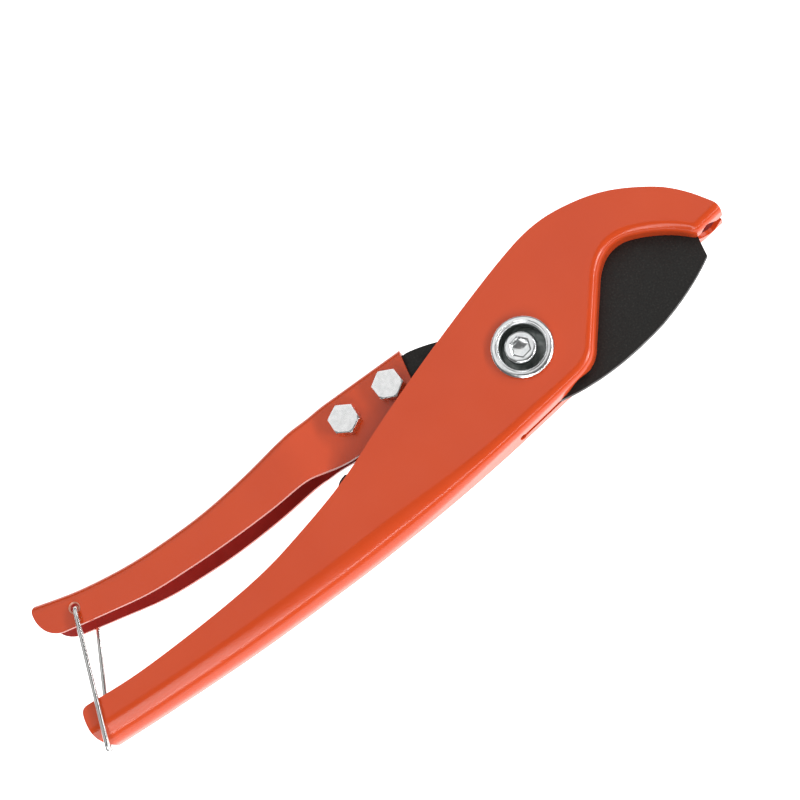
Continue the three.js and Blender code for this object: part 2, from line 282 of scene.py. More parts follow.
def piece(name, mesher, body, materials, replaced, outside=None, sharp=35.0):
    """A smooth-shaded object from a Mesher, riding on a CAD body in place of CAD nodes.

    Where the surface is open, `outside` is a point and a direction that its normal takes.
    """
    mesh = bpy.data.meshes.new(name)
    mesh.from_pydata([p * MM for p in mesher.points], [], mesher.faces)
    for found in materials:
        mesh.materials.append(found)
    mesh.polygons.foreach_set("material_index", mesher.kinds)
    work = bmesh.new()
    work.from_mesh(mesh)
    bmesh.ops.remove_doubles(work, verts=work.verts, dist=0.002 * MM)
    loose = [v for v in work.verts if not v.link_faces]
    bmesh.ops.delete(work, geom=loose, context="VERTS")
    bmesh.ops.recalc_face_normals(work, faces=work.faces)
    if outside:
        point, direction = Vector(outside[0]) * MM, Vector(outside[1])
        nearest = min(work.faces, key=lambda f: (f.calc_center_median() - point).length)
        if nearest.normal.dot(direction) < 0:
            bmesh.ops.reverse_faces(work, faces=work.faces)
    for found in work.faces:
        found.smooth = True
    for edge in work.edges:
        edge.smooth = edge.calc_face_angle(0.0) < math.radians(sharp)
    work.to_mesh(mesh)
    work.free()
    made = bpy.data.objects.new(name, mesh)
    bpy.context.scene.collection.objects.link(made)
    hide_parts(replaced)
    if body:
        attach(made, body)
    return made


def thicken(made, thickness=SHEET):
    """Thicken a sheet inwards from its outside face; the inside takes the next material, a darker
    coat that paints the shade inside the channel.
    """
    solidify = made.modifiers.new("thickness", "SOLIDIFY")
    solidify.material_offset = 1
    solidify.thickness = thickness * MM
    solidify.offset = -1.0
    solidify.use_even_offset = True
    return made


def break_edges(made, width=EDGE_BEVEL, angle=28.0, segments=2):
    """Round every edge sharper than the angle, and keep the flats flat."""
    bevel = made.modifiers.new("edges", "BEVEL")
    bevel.width = width * MM
    bevel.segments = segments
    bevel.limit_method = "ANGLE"
    bevel.angle_limit = math.radians(angle)
    bevel.miter_outer = "MITER_ARC"
    weighted = made.modifiers.new("normals", "WEIGHTED_NORMAL")
    weighted.mode = "FACE_AREA"
    weighted.weight = 80
    weighted.keep_sharp = True
    return made


# ---- materials ----

class Shader:
    """A principled material whose varying inputs come from procedural textures."""

    def __init__(self, name, color, roughness, metallic, **fixed):
        self.material = bpy.data.materials.new(name)
        self.material.use_nodes = True
        self.nodes = self.material.node_tree.nodes
        self.links = self.material.node_tree.links
        self.bsdf = self.nodes["Principled BSDF"]
        self.bsdf.inputs["Base Color"].default_value = (*color, 1)
        self.bsdf.inputs["Roughness"].default_value = roughness
        self.bsdf.inputs["Metallic"].default_value = metallic
        for socket, value in fixed.items():
            self.bsdf.inputs[socket.replace("_", " ")].default_value = value
        self.place = self.nodes.new("ShaderNodeTexCoord").outputs["Object"]

    def stretched(self, x, y, z):
        """Object coordinates scaled along the axes, for marks that run one way."""
        mapping = self.nodes.new("ShaderNodeMapping")
        mapping.inputs["Scale"].default_value = (x, y, z)
        self.links.new(self.place, mapping.inputs["Vector"])
        return mapping.outputs["Vector"]

    def noise(self, size, detail=3.0, vector=None):
        """Noise whose features are about `size` millimetres across."""
        node = self.nodes.new("ShaderNodeTexNoise")
        node.inputs["Scale"].default_value = 1 / (size * MM)
        node.inputs["Detail"].default_value = detail
        self.links.new(vector or self.place, node.inputs["Vector"])
        return node.outputs["Fac"]

    def rings(self, pitch):
        """Fine turning marks round the row frame's Z axis."""
        node = self.nodes.new("ShaderNodeTexWave")
        node.wave_type = "RINGS"
        node.rings_direction = "Z"
        node.inputs["Scale"].default_value = 1 / (pitch * MM) / 3.2
        node.inputs["Distortion"].default_value = 0.4
        self.links.new(self.place, node.inputs["Vector"])
        return node.outputs["Fac"]

    def spread(self, factor, low, high, start=0.3, end=0.7):
        """Map a texture's start..end to low..high."""
        node = self.nodes.new("ShaderNodeMapRange")
        node.interpolation_type = "SMOOTHSTEP"
        node.inputs["From Min"].default_value = start
        node.inputs["From Max"].default_value = end
        node.inputs["To Min"].default_value = low
        node.inputs["To Max"].default_value = high
        self.links.new(factor, node.inputs["Value"])
        return node.outputs["Result"]

    def colour(self, factor, *stops):
        """Colour the surface by a ramp of (place, colour) stops."""
        node = self.nodes.new("ShaderNodeValToRGB")
        ramp = node.color_ramp
        ramp.interpolation = "EASE"
        while len(ramp.elements) < len(stops):
            ramp.elements.new(0.5)
        for element, (place, color) in zip(ramp.elements, stops):
            element.position = place
            element.color = (*color, 1)
        self.links.new(factor, node.inputs["Fac"])
        self.links.new(node.outputs["Color"], self.bsdf.inputs["Base Color"])

    def roughness(self, factor, low, high):
        self.links.new(self.spread(factor, low, high), self.bsdf.inputs["Roughness"])

    def bump(self, *layers):
        """Surface relief from (texture, height in millimetres) layers."""
        normal = None
        for factor, height in layers:
            node = self.nodes.new("ShaderNodeBump")
            node.inputs["Strength"].default_value = 1.0
            node.inputs["Distance"].default_value = height * MM
            self.links.new(factor, node.inputs["Height"])
            if normal:
                self.links.new(normal, node.inputs["Normal"])
            normal = node.outputs["Normal"]
        self.links.new(normal, self.bsdf.inputs["Normal"])


def orange_paint():
    """Glossy enamel over sheet steel, with faint orange peel and uneven gloss."""
    shader = Shader("orange_paint", (0.70, 0.074, 0.0145), 0.2, 0.0, IOR=1.5)
    shader.colour(shader.noise(26, 2.0), (0.1, (0.68, 0.070, 0.0140)), (0.9, (0.72, 0.078, 0.0150)))
    shader.roughness(shader.noise(9, 2.0), 0.17, 0.23)
    shader.bump((shader.noise(1.6, 1.0), 0.004))
    return shader.material


def worn_paint_and_highlight():
    """Paint rubbed thin where the bail turns in its hole, and coloured pale as a painted highlight of
    the rim.
    """
    shader = Shader("worn_paint_and_highlight", (0.78, 0.34, 0.24), 0.3, 0.0)
    shader.colour(shader.noise(0.8, 3.0), (0.2, (0.7, 0.26, 0.17)), (0.8, (0.84, 0.44, 0.33)))
    shader.roughness(shader.noise(0.6, 2.0), 0.24, 0.4)
    return shader.material


def inner_painted_shade():
    """Painted shade: a darker coat on the inside of the folded sheet, standing in for the shade
    inside the channel.
    """
    shader = Shader("inner_painted_shade", (0.46, 0.036, 0.026), 0.35, 0.0)
    shader.colour(shader.noise(12, 3.0), (0.2, (0.43, 0.033, 0.024)), (0.8, (0.49, 0.039, 0.028)))
    shader.roughness(shader.noise(6, 2.0), 0.3, 0.42)
    shader.bump((shader.noise(1.6, 2.0), 0.006))
    return shader.material


def black_oxide():
    """Blackened blade steel with a fine mottle and a few pale scuffs."""
    shader = Shader("black_oxide", (0.028, 0.027, 0.025), 0.5, 0.35)
    shader.colour(
        shader.noise(0.55, 6.0),
        (0.3, (0.010, 0.0095, 0.009)), (0.55, (0.017, 0.0165, 0.015)), (0.72, (0.034, 0.033, 0.03)),
    )
    shader.roughness(shader.noise(3.0, 4.0), 0.42, 0.6)
    shader.bump((shader.noise(0.35, 4.0), 0.012))
    return shader.material


def ground_steel():
    """The bare ground flats that meet at the cutting edge."""
    shader = Shader("ground_steel", (0.52, 0.52, 0.53), 0.3, 1.0)
    marks = shader.noise(0.5, 3.0, shader.stretched(1, 0.06, 1))
    shader.colour(marks, (0.3, (0.42, 0.42, 0.43)), (0.7, (0.6, 0.6, 0.61)))
    shader.roughness(marks, 0.26, 0.4)
    shader.bump((marks, 0.006))
    return shader.material


def bright_plate():
    """Zinc-plated hardware, slightly mottled."""
    shader = Shader("bright_plate", (0.82, 0.83, 0.84), 0.24, 1.0)
    shader.colour(shader.noise(1.6, 3.0), (0.3, (0.86, 0.87, 0.87)), (0.7, (0.95, 0.95, 0.95)))
    shader.roughness(shader.noise(1.4, 3.0), 0.2, 0.3)
    shader.bump((shader.noise(0.6, 3.0), 0.004))
    return shader.material


def turned_plate():
    """Zinc-plated turned steel with fine rings round the pivot."""
    shader = Shader("turned_plate", (0.8, 0.81, 0.82), 0.2, 1.0)
    shader.colour(shader.noise(2.0, 3.0), (0.3, (0.84, 0.86, 0.87)), (0.7, (0.93, 0.94, 0.94)))
    shader.roughness(shader.noise(1.4, 2.0), 0.16, 0.24)
    shader.bump((shader.rings(0.28), 0.003))
    return shader.material


def recess_painted_shade():
    """Painted shade: plating darkened grey on the walls and floor of the bush's recess."""
    shader = Shader("recess_painted_shade", (0.2, 0.22, 0.21), 0.38, 1.0)
    shader.colour(shader.noise(1.5, 3.0), (0.3, (0.15, 0.17, 0.165)), (0.7, (0.27, 0.29, 0.28)))
    shader.roughness(shader.noise(1.1, 3.0), 0.3, 0.45)
    shader.bump((shader.rings(0.4), 0.004))
    return shader.material


def spring_steel():
    """Drawn bright wire, smooth along its length."""
    shader = Shader("spring_steel", (0.72, 0.72, 0.71), 0.2, 1.0)
    marks = shader.noise(4.0, 2.0)
    shader.colour(marks, (0.2, (0.68, 0.68, 0.67)), (0.8, (0.77, 0.77, 0.76)))
    shader.roughness(marks, 0.18, 0.24)
    return shader.material


def bronze():
    """Plain bearing bronze of the thrust washers."""
    shader = Shader("bronze", (0.5, 0.32, 0.13), 0.35, 1.0)
    shader.colour(shader.noise(1.5, 4.0), (0.3, (0.42, 0.26, 0.1)), (0.7, (0.58, 0.38, 0.17)))
    shader.roughness(shader.noise(0.9), 0.28, 0.45)
    shader.bump((shader.rings(0.3), 0.005))
    return shader.material


def black_rubber():
    """Matt moulded rubber."""
    shader = Shader("black_rubber", (0.016, 0.016, 0.016), 0.6, 0.0)
    shader.colour(shader.noise(1.0, 4.0), (0.3, (0.012, 0.012, 0.012)), (0.7, (0.03, 0.03, 0.029)))
    shader.roughness(shader.noise(0.7), 0.5, 0.7)
    shader.bump((shader.noise(0.3, 3.0), 0.015))
    return shader.material


def nylon():
    """The lock nut's insert."""
    shader = Shader("nylon", (0.75, 0.73, 0.66), 0.45, 0.0, Subsurface_Weight=0.1)
    shader.colour(shader.noise(1.0), (0.3, (0.7, 0.68, 0.61)), (0.7, (0.78, 0.76, 0.69)))
    shader.roughness(shader.noise(0.6), 0.38, 0.52)
    return shader.material


PAINT = orange_paint()
INNER_SHADE = inner_painted_shade()
WORN_AND_HIGHLIGHT = worn_paint_and_highlight()
OXIDE = black_oxide()
GROUND = ground_steel()
PLATE = bright_plate()
TURNED = turned_plate()
RECESS_SHADE = recess_painted_shade()
WIRE = spring_steel()
BRONZE = bronze()
RUBBER = black_rubber()
NYLON = nylon()


# ---- folded sheet ----

class FoldedSheet:
    """One side of a channel folded along a path, mirrored on the middle plane.

    path: the folded edge from left to right. side: which way the cheeks lie from it.
    half(x): middle plane to the cheek's outside. bend(x): outside bend radius.
    gap(x, side): middle plane to the edge of a slot in the web, or 0.
    ends: the cut edges at both ends of the fold. run: how far an end's trim reaches in.
    """

    def __init__(self, path, side, half, bend, gap, ends, run=14.0):
        self.path, self.half, self.bend, self.gap = path, half, bend, gap
        self.normals = inward_normals(path, side)
        self.ends = ends
        self.run = run
        steps = [(b - a).length for a, b in zip(path, path[1:])]
        self.travelled = [sum(steps[:i]) for i in range(len(path))]

    def trimmed(self, offsets):
        """A row at the given offsets from the path, with its ends moved onto the cut edges."""
        row = [p + n * d for p, n, d in zip(self.path, self.normals, offsets)]
        total = self.travelled[-1]
        for curve, first, second, last in ((self.ends[0], 0, 1, False), (self.ends[1], -1, -2, True)):
            slope = (row[first].y - row[second].y) / (row[first].x - row[second].x)
            shift = along(curve, row[first].y, 1, 0) - row[first].x
            for i, travelled in enumerate(self.travelled):
                reach = total - travelled if last else travelled
                share = max(0.0, 1 - reach / self.run)
                row[i] = row[i] + Vector((1, slope)) * shift * share
        return row

    def rows(self, mesher, side):
        """Rows of point numbers from the support strip on the cheek to the slot."""
        profile = [(None, 0.0)]
        profile += [(j / BEND_ROWS, 0.0) for j in range(BEND_ROWS + 1)]
        profile += [(1.0, k / WEB_ROWS) for k in range(1, WEB_ROWS + 1)]
        found = []
        for turned, web in profile:
            offsets, heights = [], []
            for point in self.path:
                radius, half = self.bend(point.x), self.half(point.x)
                gap = self.gap(point.x, side)
                if turned is None:
                    offsets.append(radius + SUPPORT)
                    heights.append(half)
                    continue
                angle = turned * math.acos(max(0.0, 1 - (half - gap) / radius))
                offsets.append(radius * (1 - math.sin(angle)))
                drop = half - radius * (1 - math.cos(angle))
                heights.append(drop + (gap - drop) * web)
            row = self.trimmed(offsets)
            if web == 0.0:
                heights = [h - self.half(p.x) + self.half(q.x)
                           for h, p, q in zip(heights, self.path, row)]
            found.append(mesher.add(
                (p.x, p.y, MID + side * h) for p, h in zip(row, heights)))
        return found


# ---- body ----

FOLD_START = -170.0
TIP_SET_BACK = {1: 0.2, -1: 0.8}               # how much shorter each cheek is at the tip


def body_fold():
    """The folded edge of the body: spine, heel, throat, hook and tip."""
    drawn = Outline(-190, -17.6)
    drawn.spline((-168, -19.6), (-146, -21.3), (-118, -22.9), (-90, -23.5), (-70, -23.5),
                 (-48, -22.6), (-26, -20.8), (-8, -18.9), (8.5, -16.9))
    drawn.quad(14.4, -16.1, 17.2, -12.2).line(30.4, 3.6)
    drawn.cubic(35.2, 9, 40.3, 10.3, 46, 7.5).quad(53.9, 3.7, 59.2, -2.5)
    drawn.quad(60.6, -4.2, 62.8, -3.95).line(70.6, -3.1)
    points = [p for p in drawn.points if p.x > FOLD_START + STEP]
    first = Vector((FOLD_START, along(drawn.points, FOLD_START, 0, 1)))
    return refined([first, *points])


def refined(path):
    """The path with more points round the relief hole."""
    found = [path[0]]
    for a, b in zip(path, path[1:]):
        near = abs((a.x + b.x) / 2 - RELIEF_X) < 2.0
        count = 5 if near else 1
        found += [a.lerp(b, i / count) for i in range(1, count + 1)]
    return found


def body_cut_edge():
    """The cut edge of a cheek, from its lower left end round the top to the tip."""
    drawn = Outline(-168.6, -20.2, 0.5)
    drawn.quad(-172, -18, -172, -13.2).quad(-171.9, -9.4, -170.9, -7.2)
    drawn.quad(-170.2, -5.8, -168.4, -5.9)
    drawn.step = 1.6
    drawn.spline((-150, -7.6), (-125, -7.7), (-104, -6.6), (-88, -4), (-66.5, 1.2),
                 (-44, 9.4), (-18.4, 17.7), (9.6, 25.6), (24.5, 28.1), (37, 26.6),
                 (48.5, 22.4), (59.5, 14.8), (66, 7.6), (70, 0.9))
    drawn.step = 0.4
    drawn.quad(71.4, -1.6, 70.4, -4)
    return drawn.points


def body_bend(x):
    """Outside bend radius: wide on the grip, tight round the throat."""
    return 6.8 - 3.3 * smooth((x + 70) / 55) - 0.8 * smooth((x + 15) / 22)


def body_slot(x, side):
    """Middle plane to the slot's edge, with the relief hole and two formed openings."""
    reach = abs(x - RELIEF_X) / RELIEF[0]
    relief = RELIEF[1] * math.sqrt(max(0.0, 1 - reach * reach))
    if x < RELIEF_X:
        return relief
    opening = hump(x, 0.8, 7.6, 12.6, 3.1)
    opening += hump(x, 60.4, 64.6, 69.0, 4.6) if side > 0 else hump(x, 60.4, 66.6, 71.5, 3.9)
    return max(relief, SLOT_HALF + opening)


def body_shell():
    mesher = Mesher()
    for side, shorter in TIP_SET_BACK.items():
        cut = [p - Vector((shorter * smooth((p.x - 62) / 7), 0)) for p in body_cut_edge()]
        left_end = [p for p in cut if p.x < -168 and p.y < -6]
        right_end = [p for p in cut if p.x > 68 and p.y < 1]
        fold = FoldedSheet(body_fold(), 1, lambda x: BODY_HALF, body_bend, body_slot,
                           (left_end, right_end))
        rows = fold.rows(mesher, side)
        mesher.strips(rows)
        crease = [mesher.points[i].xy for i in rows[0]]
        upper = [p for p in cut if p.x < 0 or p.y > crease[-1].y + 0.2]
        upper = [p for p in upper if p.x > -160 or p.y > crease[0].y + 0.3]
        outline = crease + upper[::-1]
        bore = circle(Vector((0, 0)), PIVOT_BORE[side], 96)
        mesher.flat(outline, [bore], lambda p, side=side: MID + side * BODY_HALF)
    made = piece("body_casing", mesher, "body", [PAINT, INNER_SHADE], "body_shell",
                 outside=((-40, -10, BODY_HIGH.z), (0, 0, 1)))
    return break_edges(thicken(made))


# ---- moving handle ----

HANDLE_BEND = 2.4                              # outside bend radius
GRIP_DROP = {1: 0.0, -1: 1.0}                  # how much lower each cheek's edge is mid grip
SQUEEZE_START, SQUEEZE_END = -80, -62          # where the channel narrows to the neck
INNER_ROWS = 9                                 # points across a cheek that narrows


def handle_back():
    """The folded edge of the moving handle, from its left end to the neck's front."""
    drawn = Outline(-30.2, 25)
    drawn.line(-57, 25.9).quad(-64, 26.3, -74.6, 24.1)
    drawn.spline((-90, 21.9), (-106, 20.6), (-121, 20.8), (-136, 22.1), (-152, 25.2),
                 (-166.2, 29.6))
    return drawn.points[::-1]


def handle_cut_edge(lower):
    """The lower cut edge of a cheek, from the top of the left end to the neck's front.

    lower: how much further down the grip reaches at its middle.
    """
    drawn = Outline(-166.2, 29.6, 0.5)
    drawn.quad(-168.4, 27.6, -168, 24).quad(-167.4, 18.8, -162.6, 17)
    drawn.step = 1.2
    drawn.spline((-150, 13.9), (-134, 10.3), (-119, 8.8), (-104, 8), (-89, 7.8),
                 (-76, 8.3), (-69, 7.4), (-60, 6), (-48, 5.8), (-38, 7.2), (-33.4, 9.6))
    drawn.line(-30.2, 25)
    return [p - Vector((0, hump(p.x, -166, -112, -72, lower))) if p.y < 20 else p
            for p in drawn.points]


SQUEEZE = Outline(SQUEEZE_START, HANDLE_HALF, 0.4)
SQUEEZE.cubic(-69, HANDLE_HALF, -69, NECK_HALF, SQUEEZE_END, NECK_HALF)


def handle_half(x):
    """Middle plane to the outside of a cheek: wide on the grip, pressed flat at the neck."""
    if x <= SQUEEZE_START:
        return HANDLE_HALF
    if x >= SQUEEZE_END:
        return NECK_HALF
    return along(SQUEEZE.points, x, 0, 1)


def handle_shell():
    mesher = Mesher()
    for side, further in GRIP_DROP.items():
        cut = handle_cut_edge(further)
        left_end = [p for p in cut if p.x < -165 and p.y > 20]
        right_end = [p for p in cut if p.x > -34 and p.y > 9.5]
        fold = FoldedSheet(handle_back(), -1, handle_half, lambda x: HANDLE_BEND,
                           lambda x, side: 0.0, (left_end, right_end))
        rows = fold.rows(mesher, side)
        mesher.strips(rows)
        crease = [mesher.points[i].xy for i in rows[0]]
        lower = [p for p in cut
                 if p.y < crease[0 if p.x < -100 else -1].y - 0.3 or -160 < p.x < -60]
        outline = crease + lower[::-1]
        dimple = circle(BAIL_HOLE, BAIL_DIMPLE_RADIUS, 32)
        bolts = [circle(centre, 2.75, 32) for centre in BOLT_CENTRES.values()]
        loops = mesher.flat(
            outline, [dimple, *bolts], lambda p, side=side: MID + side * handle_half(p.x),
            inside=handle_inner_points(crease, cut))
        rim = dimple_rows(mesher, side)
        mesher.strips([loops[1], rim[0]], closed=True)
        # The rim takes the pale worn paint, which is also a painted highlight.
        mesher.strips(rim, closed=True, kind=2)
    made = piece("handle_casing", mesher, "blade_and_handle", [PAINT, INNER_SHADE, WORN_AND_HIGHLIGHT],
                 "moving_handle", outside=((-120, 14, HANDLE_HIGH.z), (0, 0, 1)))
    return break_edges(thicken(made))


def handle_inner_points(crease, cut):
    """Points inside the cheek where it narrows to the neck, so that it curves there."""
    found = []
    x = -84.0
    while x < -58.0:
        top = along(crease, x, 0, 1)
        bottom = along([p for p in cut if p.y < 18], x, 0, 1)
        found += [Vector((x, bottom + (top - bottom) * k / INNER_ROWS))
                  for k in range(1, INNER_ROWS)]
        x += 1.0
    return found


def dimple_rows(mesher, side):
    """The pressed-in rim round the bail's hole, in worn paint that is coloured pale as a painted
    highlight.
    """
    rows = []
    for share in (0.2, 0.45, 0.7, 1.0):
        radius = BAIL_DIMPLE_RADIUS + (BAIL_HOLE_RADIUS - BAIL_DIMPLE_RADIUS) * share
        depth = BAIL_DIMPLE_DEPTH * smooth(share)
        z = MID + side * (HANDLE_HALF - depth)
        rows.append(mesher.add((p.x, p.y, z) for p in circle(BAIL_HOLE, radius, 32)))
    return rows


# ---- blade ----

GRIND = 3.2                                    # width of the ground flat at the edge
EDGE_HALF = 0.04                               # half thickness left at the cutting edge


def cutting_edge():
    drawn = Outline(61.2, -2.4)
    return drawn.spline((60.2, 2.2), (56, 7.4), (48.5, 12.2), (38, 15), (27, 15), (17, 12.8))


def blade_outline():
    drawn = cutting_edge()
    drawn.quad(10, 11.2, 2, 12.6).quad(-8, 14.6, -19, 19.5).quad(-24.5, 22, -29, 22.9)
    drawn.line(-61.5, 24).quad(-64.5, 24, -64.5, 21).line(-64.5, 13).quad(-64.5, 9.8, -61, 9.6)
    drawn.line(-44, 8.4).quad(-28, 6, -19, -3.5).quad(-9.5, -16.4, 1, -18.3)
    drawn.quad(17, -21.9, 37.4, -18.1).quad(50, -15.2, 59.6, -9.9).line(61.2, -2.4)
    return drawn.points[:-1]


def blade_plate():
    mesher = Mesher()
    edge = [p for p in cutting_edge().points if p.y > 1.0]

    def from_edge(point):
        return min((point - p).length for p in edge)

    def thickness(point):
        share = min(1.0, from_edge(point) / GRIND)
        return EDGE_HALF + (BLADE_HALF - EDGE_HALF) * share

    outline = blade_outline()
    normals = inward_normals(edge, 1)
    shoulder = [p + n * GRIND for p, n in zip(edge, normals)]
    shoulder = [p for p in shoulder if encloses(outline, p) and from_edge(p) > GRIND - 0.05]
    holes = [circle(Vector((0, 0)), 5.15, 48)]
    holes += [circle(centre, 2.7, 32) for centre in BOLT_CENTRES.values()]
    rims = []
    for side in (1, -1):
        rims.append(mesher.flat(
            outline, holes, lambda p, side=side: MID + side * thickness(p), lines=[shoulder],
            kind=lambda centre: int(from_edge(centre) < GRIND)))
    for front, rear in zip(*rims):
        mesher.strips([front, rear], closed=True)
    return piece("blade_plate", mesher, "blade_and_handle", [OXIDE, GROUND],
                 "blade", sharp=8.0)


# ---- turned pieces, hexagons and wire ----

HEX_STEPS = 72                                 # points round a hexagon
HEX_BORDER = 0.3                               # narrow border round a hexagon's face
HEX_SUPPORT = 0.2                              # flat strip kept inside that border
HEX_DROP = 0.08                                # how far the border falls to the side faces
HEX_CHAMFER = 1.07                             # chamfer's radius, in half widths across flats


def lathe(mesher, profile, centre=Vector((0, 0)), closed=False, steps=TURN_STEPS):
    """Rings of points round a line along Z; profile is (radius, z) pairs, from axis to axis
    or closed on itself."""
    rings = []
    for radius, z in profile:
        if radius == 0:
            rings.append(mesher.add([(centre.x, centre.y, z)]) * steps)
            continue
        rings.append(mesher.add((p.x, p.y, z) for p in circle(centre, radius, steps)))
    if closed:
        rings.append(rings[0])
    for lower, upper in zip(rings, rings[1:]):
        for i in range(steps):
            k = (i + 1) % steps
            corners = dict.fromkeys((lower[i], lower[k], upper[k], upper[i]))
            mesher.face(corners)


def turned_piece(name, profile, body, material, replaced, width=0.12):
    mesher = Mesher()
    lathe(mesher, profile, closed=True)
    return break_edges(piece(name, mesher, body, [material], replaced), width)


def washer_piece(name, inner, body, material, replaced):
    """A flat ring with the outer radius and faces of the CAD node it stands for."""
    low, high = box_mm(replaced)
    outer = (high.x - low.x) / 2
    profile = [(inner, low.z), (outer, low.z), (outer, high.z), (inner, high.z)]
    return turned_piece(name, profile, body, material, replaced)


def hexagon_radius(angle, across_flats, corner):
    """Radius of a hexagon at an angle; one corner points at `corner`. Radians."""
    sixth = math.pi / 3
    away = (angle - corner) % sixth - sixth / 2
    return across_flats / 2 / math.cos(away)


def hex_rings(mesher, centre, across_flats, corner, seat, top, bore=0.0, under=0.0):
    """A hexagon with its corners chamfered at `top`, and at `seat` too where `under` is 1."""
    turn = math.radians(corner)
    angles = [turn + 2 * math.pi * i / HEX_STEPS for i in range(HEX_STEPS)]
    slope = math.tan(math.radians(30))
    chamfer = across_flats / 2 * HEX_CHAMFER

    def ring(radius_of, z_of):
        radii = [radius_of(a) for a in angles]
        return mesher.add(
            (centre.x + r * math.cos(a), centre.y + r * math.sin(a), z_of(r))
            for r, a in zip(radii, angles))

    def side(angle):
        return hexagon_radius(angle, across_flats, turn)

    def face_rim(angle):
        return min(side(angle), chamfer) - HEX_BORDER

    def cut(radius):
        return HEX_DROP + max(0.0, radius - chamfer) * slope

    hole = bore or 0.6 * chamfer
    rings = [
        ring(lambda a: hole, lambda r: seat),
        ring(lambda a: face_rim(a) - HEX_SUPPORT, lambda r: seat),
        ring(face_rim, lambda r: seat),
        ring(side, lambda r: seat + under * cut(r)),
        ring(side, lambda r: top - cut(r)),
        ring(face_rim, lambda r: top),
        ring(lambda a: face_rim(a) - HEX_SUPPORT, lambda r: top),
        ring(lambda a: hole, lambda r: top),
    ]
    mesher.strips(rings, closed=True)
    if bore:
        mesher.strips([rings[-1], rings[0]], closed=True)
    else:
        mesher.face(rings[0])
        mesher.face(rings[-1])


def threaded(radius, start, end, pitch):
    """Profile of a threaded rod's surface from start to end along Z."""
    count = max(1, round(abs(end - start) / pitch))
    rise = (end - start) / count
    profile = []
    for i in range(count):
        z = start + rise * i
        profile += [(radius - 0.32, z), (radius, z + 0.45 * rise), (radius, z + 0.6 * rise)]
    return [*profile, (radius - 0.32, end)]


def neck_bolt(end, corner):
    """Hexagon bolt through the neck and the blade's tang."""
    centre = BOLT_CENTRES[end]
    low, high = box_mm(f"{end}_neck_bolt")
    seat = high.z - BOLT_HEAD
    inside = seat + 0.2
    mesher = Mesher()
    hex_rings(mesher, centre, BOLT_FLATS, corner, seat, high.z)
    shank = threaded(2.5, low.z + 0.3, low.z + 6.7, 0.8)
    profile = [(0, low.z), (2.1, low.z), *shank, (2.5, low.z + 6.9), (2.5, inside), (0, inside)]
    lathe(mesher, profile, centre, steps=48)
    made = piece(f"{end}_bolt", mesher, "blade_and_handle", [PLATE],
                 f"{end}_neck_bolt", sharp=25.0)
    return break_edges(made, 0.1, 24)


def hexagon_nut(name, centre, across_flats, bore, corner, low, high, replaced, body, extra=()):
    """A nut chamfered on both faces; extra is the profile of a collar made in one with it."""
    mesher = Mesher()
    hex_rings(mesher, centre, across_flats, corner, low, high, bore=bore, under=1.0)
    if extra:
        lathe(mesher, extra, centre, closed=True)
    made = piece(name, mesher, body, [PLATE], replaced, sharp=25.0)
    return break_edges(made, 0.1, 24)


def lock_washer(end):
    """Split spring washer, closed flat under the nut."""
    node = f"{end}_neck_lock_washer"
    low, high = box_mm(node)
    centre = BOLT_CENTRES[end]
    steps, split = 64, math.radians(9)
    mesher = Mesher()
    rows = []
    for radius, z, lean in ((2.7, low.z, -1), (4.4, low.z, -1), (4.4, high.z, 1), (2.7, high.z, 1)):
        row = []
        for i in range(steps + 1):
            angle = math.radians(200) + split + (2 * math.pi - 2 * split) * i / steps + lean * 0.06
            row.append((centre.x + radius * math.cos(angle), centre.y + radius * math.sin(angle), z))
        rows.append(mesher.add(row))
    mesher.strips([*rows, rows[0]])
    mesher.face([row[0] for row in rows])
    mesher.face([row[-1] for row in rows])
    made = piece(f"{end}_split_washer", mesher, "blade_and_handle", [PLATE], node)
    return break_edges(made, 0.12)


def tube(mesher, route, radius, sides=20):
    """Round wire along a route of points, with flat ends."""
    tangents = []
    for i in range(len(route)):
        ahead, behind = route[min(i + 1, len(route) - 1)], route[max(i - 1, 0)]
        tangents.append((ahead - behind).normalized())
    across = tangents[0].orthogonal().normalized()
    rows = []
    for i, (point, tangent) in enumerate(zip(route, tangents)):
        across = (across - tangent * across.dot(tangent)).normalized()
        other = tangent.cross(across)
        rows.append(mesher.add(
            point + radius * (across * math.cos(a) + other * math.sin(a))
            for a in (2 * math.pi * k / sides for k in range(sides))))
    mesher.strips(rows, closed=True)
    mesher.face(rows[0])
    mesher.face(rows[-1])


def bent_route(corners, bend, step=1.2):
    """Straight runs between corner points, with each corner rounded."""
    corners = [Vector(c) for c in corners]
    route = [corners[0]]
    for before, corner, after in zip(corners, corners[1:], corners[2:]):
        start = corner + (before - corner).normalized() * bend
        end = corner + (after - corner).normalized() * bend
        count = max(1, math.ceil((start - route[-1]).length / step))
        origin = route[-1]
        route += [origin.lerp(start, i / count) for i in range(1, count + 1)]
        route += [start.lerp(corner, t / 8).lerp(corner.lerp(end, t / 8), t / 8) for t in range(1, 9)]
    route.append(corners[-1])
    return route


# ---- pivot ----

RECESS_FLOOR = 19.9
SHOULDER_Z = MID + BLADE_HALF + 0.8


